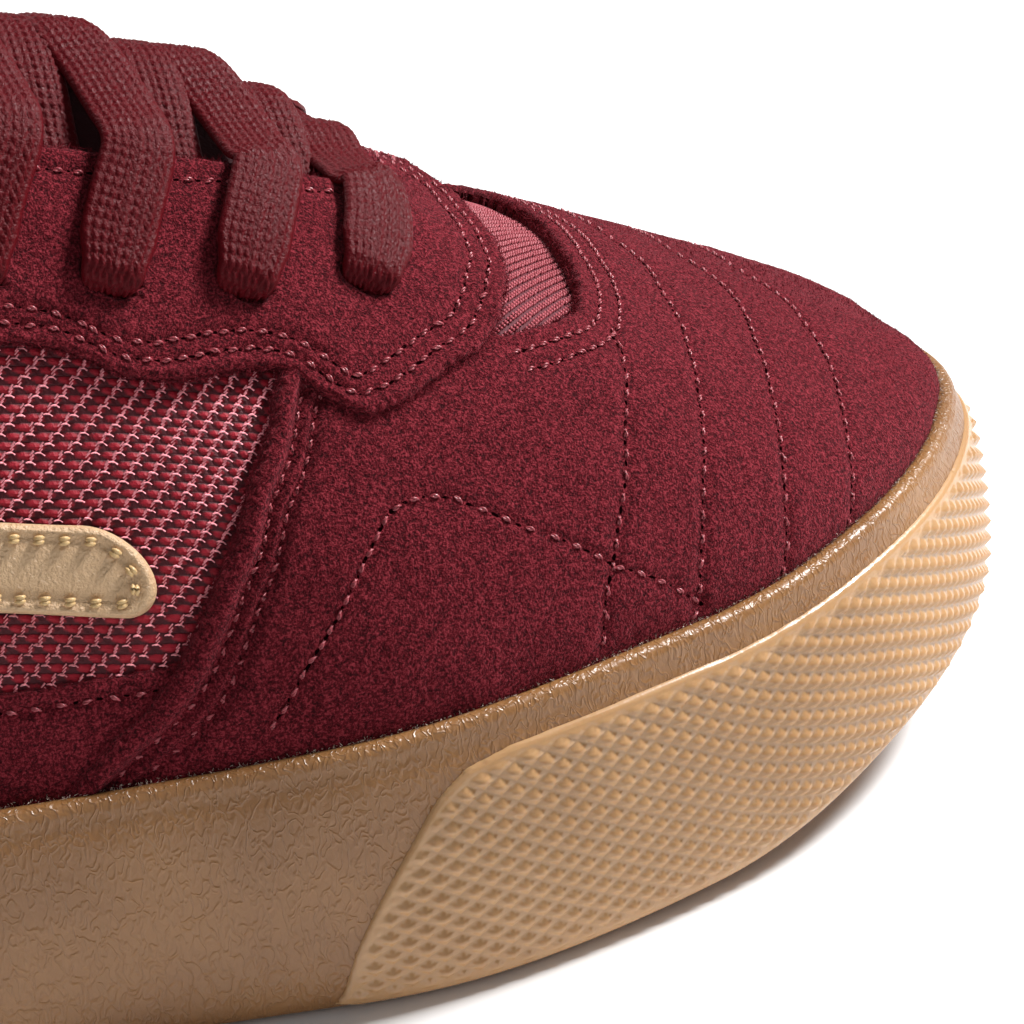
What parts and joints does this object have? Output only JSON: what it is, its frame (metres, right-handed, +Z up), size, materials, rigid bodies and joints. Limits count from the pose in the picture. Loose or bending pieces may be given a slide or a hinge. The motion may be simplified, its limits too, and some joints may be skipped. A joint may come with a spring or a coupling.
{
  "type": "skateboarding shoe",
  "caption": "Low right-foot skateboarding shoe with a suede and mesh upper, padded tongue and collar, flat laces, and a gum rubber cupsole with a textured toe bumper.",
  "frame": {"origin": "middle of the bottom of the shoe's box, on the floor under the sole", "axes": "+X towards the toe, -Y the outer (lateral) side, +Z up"},
  "size_m": [0.2962, 0.1114, 0.1305],
  "materials": {
    "suede": "matte burgundy suede",
    "rubber": "satin gum rubber with a fine grain",
    "bumper": "satin gum rubber with small pyramids",
    "lace": "flat braid",
    "fabric": "woven",
    "lining": "brushed knit",
    "leather": "smooth tan leather"
  },
  "bodies": {
    "root": {"cupsole": "rubber", "toe_bumper": "bumper", "upper": "suede", "insole": "fabric", "collar_padding": "lining", "tongue": "fabric", "lace_crossing_1": "lace", "lace_crossing_2": "lace", "lace_crossing_3": "lace", "lace_crossing_4": "lace", "lace_crossing_5": "lace", "side_patch_outer": "leather", "side_patch_inner": "leather"}
  },
  "joints": []
}
